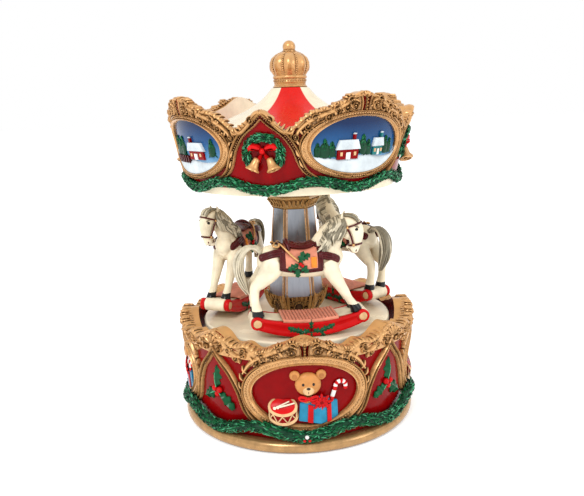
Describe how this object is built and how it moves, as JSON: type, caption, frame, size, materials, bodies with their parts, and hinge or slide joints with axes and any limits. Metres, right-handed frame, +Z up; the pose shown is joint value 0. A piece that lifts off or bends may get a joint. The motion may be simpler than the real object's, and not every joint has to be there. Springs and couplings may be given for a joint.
{
  "type": "wind up music box",
  "caption": "Wind-up carousel music box: a carved base with a key-wound movement turns rocking horses round a mirror column under a carved canopy.",
  "frame": {"origin": "centre of the foot ring, on the table", "axes": "+Z up along the turning axis, -Y towards the front oval panel"},
  "size_m": [0.139, 0.139, 0.2097],
  "materials": {
    "gold": "cast resin, antique gold paint with brown patina",
    "red_gloss": "cast resin, gloss red enamel",
    "cream": "cast resin, ivory enamel",
    "green": "cast resin, painted green",
    "tan": "cast resin, painted toys",
    "sky_blue": "cast resin, painted winter scene",
    "dark_resin": "cast resin, unpainted core",
    "mirror": "silvered glass",
    "black_plastic": "moulded plastic",
    "steel": "steel",
    "cast_metal": "die-cast bedplate",
    "brass": "brass"
  },
  "bodies": {
    "base": {"base_plinth": "gold", "base_shell": "red_gloss", "base_garland": "green", "base_oval_frames": "gold", "base_point_frames": "gold", "base_crest": "gold", "base_toys": "tan", "base_holly": "green", "bottom_cover": "black_plastic", "cover_screws": "steel", "bedplate": "cast_metal", "bedplate_screws": "steel", "cylinder_bracket": "steel", "governor_frame": "steel", "comb": "steel", "comb_screws": "steel", "click_spring": "steel", "deck_bush": "brass", "cover_ledge": "dark_resin"},
    "carousel": {"spring_barrel": "brass", "barrel_cap": "brass", "mainspring": "steel", "centre_rod": "steel", "platform": "cream", "column_collar": "gold", "column_core": "dark_resin", "column_ribs": "gold", "mirror_panes": "mirror", "column_capital": "gold", "canopy_ceiling": "cream", "canopy_shell": "red_gloss", "canopy_garland": "green", "canopy_oval_frames": "gold", "canopy_point_frames": "gold", "canopy_crest": "gold", "scene_panels": "sky_blue", "canopy_wreaths": "green", "canopy_bows": "red_gloss", "canopy_bells": "gold", "roof": "cream", "crown_finial": "gold", "rocker_1": "red_gloss", "rocker_2": "red_gloss", "rocker_3": "red_gloss", "horse_1": "cream", "horse_2": "cream", "horse_3": "cream", "saddle_1": "red_gloss", "saddle_2": "red_gloss", "saddle_3": "red_gloss"},
    "key": {"winding_key": "steel", "winding_arbor": "steel", "ratchet_wheel": "steel"},
    "cylinder": {"music_cylinder": "brass", "cylinder_arbor": "steel", "cylinder_gear": "brass"},
    "governor": {"governor_wheel": "brass"},
    "fly": {"governor_worm": "steel", "governor_fly": "black_plastic"}
  },
  "joints": [
    {"name": "carousel_spin", "type": "hinge", "parent": "base", "child": "carousel", "pos_m": [0, 0, 0.0515], "axis": [0, 0, 1], "continuous": true},
    {"name": "key_turn", "type": "hinge", "parent": "base", "child": "key", "pos_m": [0, 0, 0.02], "axis": [0, 0, 1], "continuous": true},
    {"name": "cylinder_spin", "type": "hinge", "parent": "base", "child": "cylinder", "pos_m": [0.0184, 0, 0.03693], "axis": [1, 0, 0], "continuous": true},
    {"name": "governor_spin", "type": "hinge", "parent": "base", "child": "governor", "pos_m": [0.0374, 0.0088, 0.03309], "axis": [1, 0, 0], "continuous": true},
    {"name": "fly_spin", "type": "hinge", "parent": "base", "child": "fly", "pos_m": [0.0404, 0.0136, 0.02], "axis": [0, 0, 1], "continuous": true}
  ],
  "couplings": [
    {"joint": "cylinder_spin", "follows": "carousel_spin", "ratio": 6},
    {"joint": "governor_spin", "follows": "carousel_spin", "ratio": -30},
    {"joint": "fly_spin", "follows": "carousel_spin", "ratio": 360}
  ]
}
